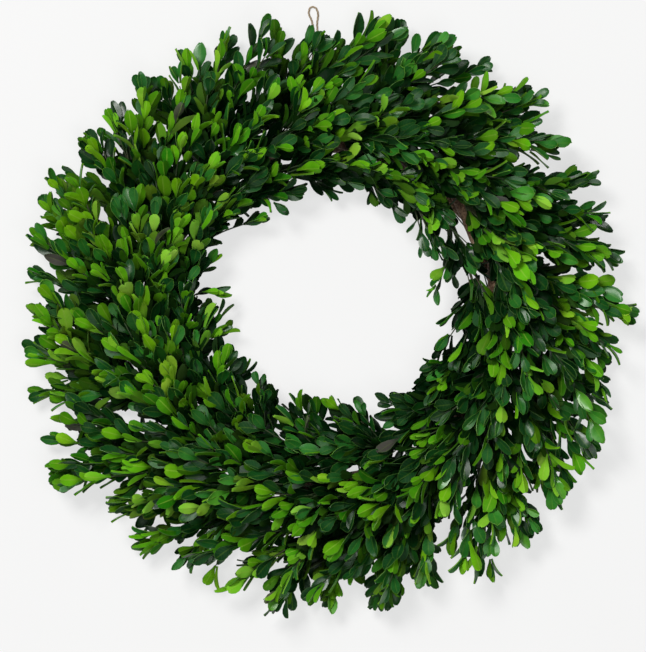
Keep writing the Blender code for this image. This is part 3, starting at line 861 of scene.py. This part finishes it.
def sprig_to(tie, row, aim, shift, tip_clock, radius, chance):
    """A sprig from the core of a bunch to a tip at a clock angle and radius."""
    root_clock = tie + ROOT_CLOCK
    fan = outward(root_clock, aim.fan)
    root = core_point(tie, row, ROOT_CLOCK) + fan * ROOT_FAN
    out = outward(root_clock, row.seat)
    height = max(aim.height + chance.uniform(*TIP_STRAY), TIP_LOWEST)
    tip = radial(tip_clock) * radius + UP * height
    lead = (root + onward(root_clock) * (LEAD_ONWARD + LEAD_SHIFT * shift) + fan * LEAD_FAN
            + out * (LEAD_OUT + chance.uniform(*LEAD_STRAY)))
    roll = math.radians(chance.uniform(-ROLL, ROLL))
    tip_facing = UP + radial(tip_clock) * aim.side_lean
    along = (tip - lead).normalized()
    tip_facing = tip_facing * math.cos(roll) + along.cross(tip_facing) * math.sin(roll)
    sway = along.cross(UP) * chance.uniform(-SWAY, SWAY) + UP * chance.uniform(-SWAY, SWAY) / 2
    return Sprig(root, lead, tip, UP + out * ROOT_LEAN, tip_facing, sway)


def draw_sprig(tie, row, share, shift_share, chance):
    """One of the many sprigs of a bunch, by the aims of its row."""
    aim = aim_at(row, share)
    shift = SHIFT * (2 * shift_share - 1)
    tip_clock = tie + ROOT_CLOCK + aim.turn + shift
    if row.name == "outer":
        away, reach = nearest_tuft(tip_clock)
        if chance.random() < RIM_SHARE:
            tip_clock += away * TUFT_PULL
            radius = reach - chance.uniform(*RIM_STRAY)
        else:
            radius = reach - chance.uniform(*BACK_STRAY)
    elif row.name == "inner":
        reach = outline(INNER_BULK, tip_clock)
        radius = aim.radius + (reach + (INNER_TOP - reach) * share + chance.uniform(*INNER_STRAY))
    else:
        radius = max(aim.radius + chance.uniform(*FACE_STRAY), outline(INNER_BULK, tip_clock) + FACE_BACK)
    return sprig_to(tie, row, aim, shift, tip_clock, radius, chance)


def draw_tufts(tie, row, tufts, chance):
    """The sprigs that make those of the tufts that belong to a bunch."""
    home = tie + ROOT_CLOCK + row.turn
    mine = [tuft for tuft in tufts if (tuft[0] - home + SECTOR / 2) % 360 < SECTOR]
    sprigs = []
    for clock, radius in mine:
        sprig = sprig_to(tie, row, aim_at(row, chance.uniform(0.0, TUFT_RISE)), 0.0, clock, radius, chance)
        sprig.leafy = row.tuft_leafy
        sprig.size = row.tuft_size
        sprigs.append(sprig)
    return sprigs


def select_points(mesh, test):
    """Selects, in edit mode, the vertices whose place passes a test."""
    shape = bmesh.from_edit_mesh(mesh)
    for vertex in shape.verts:
        vertex.select = test(vertex.co)
    shape.select_flush(True)
    shape.select_flush(False)
    bmesh.update_edit_mesh(mesh)


def leaf_blank(rows):
    """A flat creased leaf one unit long, standing on its stalk, modelled row by row."""
    deselect_all()
    bpy.ops.mesh.primitive_grid_add(x_subdivisions=LEAF_COLUMNS, y_subdivisions=1, size=1,
                                    rotation=(math.pi / 2, 0, 0))
    leaf = bpy.context.object
    bpy.ops.object.transform_apply(location=False, rotation=True, scale=False)
    (base, base_width), (first, first_width) = rows[:2]
    bpy.ops.object.mode_set(mode="EDIT")
    bpy.ops.mesh.select_all(action="SELECT")
    bpy.ops.transform.translate(value=(0, 0, 0.5))
    bpy.ops.transform.resize(value=(base_width * LEAF_SHAPE, 1, first - base), center_override=(0, 0, 0))
    edge, width = first, base_width
    select_points(leaf.data, lambda co: co.z > first / 2)
    bpy.ops.transform.resize(value=(first_width / width, 1, 1), center_override=(0, 0, first))
    width = first_width
    for share, row_width in rows[2:]:
        bpy.ops.mesh.extrude_region_move(TRANSFORM_OT_translate={"value": (0, 0, share - edge)})
        bpy.ops.transform.resize(value=(row_width / width, 1, 1), center_override=(0, 0, share))
        edge, width = share, row_width
    select_points(leaf.data, lambda co: abs(co.x) < RIB_WIDTH)
    bpy.ops.transform.translate(value=(0, LEAF_CREASE, 0))
    bpy.ops.object.mode_set(mode="OBJECT")
    return leaf


def map_leaf(leaf):
    """Gives a flat leaf its UV map: 0 to 1 across from edge to edge, and 0 to 1 along."""
    flat = [(v.co.x, v.co.z) for v in leaf.data.vertices]
    widths = {}
    for x, z in flat:
        widths[round(z, 4)] = max(widths.get(round(z, 4), 0.0), abs(x))
    layer = leaf.data.uv_layers.new(name="leaf")
    for loop in leaf.data.loops:
        x, z = flat[loop.vertex_index]
        layer.data[loop.index].uv = (0.5 + 0.5 * x / widths[round(z, 4)], z)


def leaf_form(rows, cup, arch, twist):
    """A finished leaf: mapped, bent to its form and given its thickness."""
    leaf = leaf_blank(rows)
    map_leaf(leaf)
    for axis, method, angle in (("Z", "BEND", cup), ("X", "BEND", arch), ("Z", "TWIST", twist)):
        change = leaf.modifiers.new("shape", "SIMPLE_DEFORM")
        change.deform_method = method
        change.deform_axis = axis
        change.angle = math.radians(angle)
        bpy.ops.object.modifier_apply(modifier="shape")
    shell = leaf.modifiers.new("shell", "SOLIDIFY")
    shell.thickness = LEAF_THICKNESS
    shell.offset = -1.0
    bpy.ops.object.modifier_apply(modifier="shell")
    return leaf


class LeafCast:
    """A finished leaf form as arrays, ready to be set many times."""

    def __init__(self, leaf, upper_points):
        mesh = leaf.data
        points = np.array([v.co for v in mesh.vertices])
        self.points = np.stack([points[:, 0], points[:, 2], -points[:, 1]], axis=1)
        self.faces = [tuple(p.vertices) for p in mesh.polygons]
        layer = next(u for u in mesh.uv_layers if u.name == "leaf")
        self.uv = np.array([layer.data[i].uv for p in mesh.polygons for i in p.loop_indices])
        self.under = np.array([0.0] * upper_points + [1.0] * (len(points) - upper_points))


def leaf_casts():
    casts = []
    for rows, cup, arch, twist in LEAF_FORMS:
        leaf = leaf_form(rows, cup, arch, twist)
        casts.append(LeafCast(leaf, (LEAF_COLUMNS + 1) * len(rows)))
        bpy.data.objects.remove(leaf)
    return casts


class Leaf:
    """Where one leaf sits, how it is turned, and its tone."""

    def __init__(self, place, reach, normal, size, width, form, tone, faded):
        self.axes = np.array([reach.cross(normal) * width, reach, normal]) * size
        self.place = np.array(place)
        self.form = form
        self.tone = tone
        self.faded = faded
        self.depth = 0.0


def pale_share(row, clock):
    """Share of the row's leaves that show their pale underside at a clock angle."""
    share, swing, peak = row.pale
    return share + swing * math.cos(math.radians(clock - peak))


def at_rim(place):
    """0 well inside the wreath, 1 at its rim."""
    begins, full = RIM_LIGHT
    return clamp((math.hypot(place[0], place[1]) - begins) / (full - begins), 0.0, 1.0)


def sprig_leaves(row, sprig, chance):
    """Pairs of leaves along the outer part of a sprig, and a tuft at its tip."""
    leaves = []
    tip = sprig.path[2]
    clock = math.degrees(math.atan2(tip.x, tip.y))
    pale = clamp(pale_share(row, clock) + chance.uniform(-PALE_STRAY, PALE_STRAY), *PALE_LIMITS)
    sprig_tone = chance.uniform(*SPRIG_TONES) + PALE_TONE * (pale - PALE_MIDDLE)
    pitch = chance.uniform(*LEAF_PITCH)
    count = int(min(row.leafy * sprig.leafy, sprig.length * LEAFY_SHARE) / pitch)
    turned = chance.uniform(-FIRST_TURN, FIRST_TURN)
    open_out = chance.uniform(*OPENNESS)
    for k in range(count + 1):
        back = LEAF_LENGTH * sprig.size * END_OVERLAP + pitch * (count - k)
        place, along, left, facing = sprig.frame(max(1 - back / sprig.length, LEAFY_START))
        end = k == count
        for side in END_SIDES if end else PAIR_SIDES:
            if chance.random() < LEAF_MISSING:
                continue
            phi = math.radians(side + turned + chance.uniform(-SIDE_STRAY, SIDE_STRAY))
            lean = math.radians(open_out * chance.uniform(*(END_LEANS if end else PAIR_LEANS)))
            out = left * math.cos(phi) + facing * math.sin(phi)
            reach = along * math.cos(lean) + out * math.sin(lean)
            natural = along * math.sin(lean) - out * math.cos(lean)
            shows_back = chance.random() < pale
            wanted = facing * (-1 if shows_back else 1)
            upward = natural if natural.dot(wanted) > TURN_OVER else natural * -1
            normal = upward.lerp(wanted, chance.uniform(*TURN_SHARES))
            normal = (normal - reach * normal.dot(reach)).normalized()
            tilt = math.radians(chance.gauss(0, LEAF_TILT))
            normal = normal * math.cos(tilt) + reach.cross(normal) * math.sin(tilt)
            size = LEAF_LENGTH * sprig.size * chance.uniform(*LEAF_SIZES) * (END_SIZE if end else 1.0)
            rim_tone = RIM_TONE * at_rim(place) * (-1 if shows_back else 1)
            tone = clamp(chance.gauss(sprig_tone, TONE_SPREAD) + rim_tone, 0.0, 1.0)
            leaves.append(Leaf(place + out * LEAF_OFFSET, reach, normal, size, chance.uniform(*LEAF_WIDTHS),
                               chance.randrange(len(LEAF_FORMS)), tone, chance.random() < LEAF_FADED))
        turned += NEXT_TURN + chance.uniform(-NEXT_STRAY, NEXT_STRAY)
    return leaves


def over_bare(leaf):
    """Whether a leaf would hide a place where the vine shows."""
    x, y, _ = leaf.place + leaf.axes[1] / 2
    return any(math.hypot(x - spot[0], y - spot[1]) < BARE_REACH for spot in BARE_SPOTS)


def set_leaves(leaves, casts):
    """One mesh of all the leaves of a bunch."""
    points, faces, uv, under = [], [], [], []
    marks = {"tone": [], "faded": [], "depth": []}
    start = 0
    for leaf in leaves:
        cast = casts[leaf.form]
        placed = cast.points @ leaf.axes + leaf.place
        placed[:, 2] += max(LEAF_FLOOR - placed[:, 2].min(), 0.0)
        points.append(placed)
        faces += [tuple(i + start for i in face) for face in cast.faces]
        uv.append(cast.uv)
        under.append(cast.under)
        for mark, values in marks.items():
            values.append(np.full(len(placed), float(getattr(leaf, mark))))
        start += len(placed)
    obj = mesh_object("leaves", np.concatenate(points).tolist(), faces)
    obj.data.uv_layers.new(name="leaf").data.foreach_set("uv", np.concatenate(uv).ravel())
    point_values(obj.data, "under", np.concatenate(under))
    for mark, values in marks.items():
        point_values(obj.data, mark, np.concatenate(values))
    obj.data.shade_smooth()
    obj.data.set_sharp_from_angle(angle=math.radians(SHARP))
    return obj


def stem_path(sprig):
    """Points of a stem that stops inside its end leaves, thinner towards the tip."""
    end = 1 - LEAF_LENGTH * END_OVERLAP / sprig.length
    path = []
    for k in range(STEM_POINTS):
        share = k / (STEM_POINTS - 1)
        path.append((sprig.at(end * share), 1 - (1 - STEM_TIP_SHARE) * share))
    return path


def grow(tie, row, tufts, count, chance):
    """Leaves and stem paths of a bunch's tufts and of a number of its other sprigs."""
    sprigs = draw_tufts(tie, row, tufts, chance)
    for number in range(count):
        share = row.low + (1 - row.low) * (number + chance.random()) / count
        shift_share = (number * GOLDEN + chance.random() * GOLDEN) % 1
        sprigs.append(draw_sprig(tie, row, share, shift_share, chance))
    leaves = []
    for sprig in sprigs:
        leaves += [leaf for leaf in sprig_leaves(row, sprig, chance) if not over_bare(leaf)]
    return leaves, [stem_path(sprig) for sprig in sprigs]


def grow_bunches():
    """All bunches, as (row, sector, leaves, stem paths)."""
    grown = []
    for row in ROWS:
        for sector, tie in enumerate(tie_clocks()):
            name = f"{SEED} {row.name} {sector}"
            leaves, stems = grow(tie, row, row.tufts, row.sprigs, random.Random(name))
            more_leaves, more_stems = grow(tie, row, row.fill, 0, random.Random(name + " fill"))
            grown.append((row, sector, leaves + more_leaves, stems + more_stems))
    return grown


def find_depths(leaves):
    """Tells each leaf how deep in the foliage it lies, from the leaves that are over it, for the shade that
    is painted on it.
    """
    middles = np.array([leaf.place + leaf.axes[1] / 2 for leaf in leaves])
    for leaf, middle in zip(leaves, middles):
        aside = np.hypot(middles[:, 0] - middle[0], middles[:, 1] - middle[1])
        over = (aside < DEEP_SPREAD) & (middles[:, 2] > middle[2] + DEEP_RISE)
        leaf.depth = min(over.sum() / DEEP_COUNT, 1.0) * (1 - RIM_OPEN * at_rim(middle))


def bunches(leaf_look, stem_look):
    """A piece of leaves and a piece of stems for each bunch."""
    casts = leaf_casts()
    grown = grow_bunches()
    find_depths([leaf for _, _, leaves, _ in grown for leaf in leaves])
    for row, sector, leaves, stems in grown:
        number = f"{sector + 1:02d}"
        leafage = own(set_leaves(leaves, casts), f"{row.name}_leaves_{number}", leaf_look)
        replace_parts(leafage, f"{row.name}_bunch_{number}")
        stemwork = curve_piece(stems, STEM_RADIUS, STEM_ROUNDNESS)
        own(stemwork, f"{row.name}_stems_{number}", stem_look)


def light(name, place, size, power, color):
    """A square soft light that points at the middle of the wreath."""
    data = bpy.data.lights.new(name, "AREA")
    data.size = size
    data.energy = power
    data.color = color
    made = bpy.data.objects.new(name, data)
    made.location = place
    made.rotation_euler = (-Vector(place)).to_track_quat("-Z", "Y").to_euler()
    bpy.context.scene.collection.objects.link(made)


def studio():
    """A pale floor under a white sky, with one soft key light and a weaker one from the front."""
    deselect_all()
    bpy.ops.mesh.primitive_plane_add(size=FLOOR_SIZE)
    floor = bpy.context.object
    floor.name = "floor"
    floor.data.materials.append(floor_finish())
    world = bpy.data.worlds.new("studio")
    world.use_nodes = True
    sky = world.node_tree.nodes["Background"].inputs
    sky["Color"].default_value = (1, 1, 1, 1)
    sky["Strength"].default_value = SKY_STRENGTH
    bpy.context.scene.world = world
    light("key", *KEY_LIGHT)
    light("front", *FRONT_LIGHT)
    bpy.context.scene.view_settings.view_transform = "Standard"


camera()
twine_look = twine_finish()
hanging_loop(twine_look)
twine_tie(twine_look)
bark_look = bark_finish()
for strand_number in range(STRAND_COUNT):
    barked_strand(strand_number, bark_look)
binding_wire(wire_finish())
bunches(leaf_finish(), stem_finish())
studio()
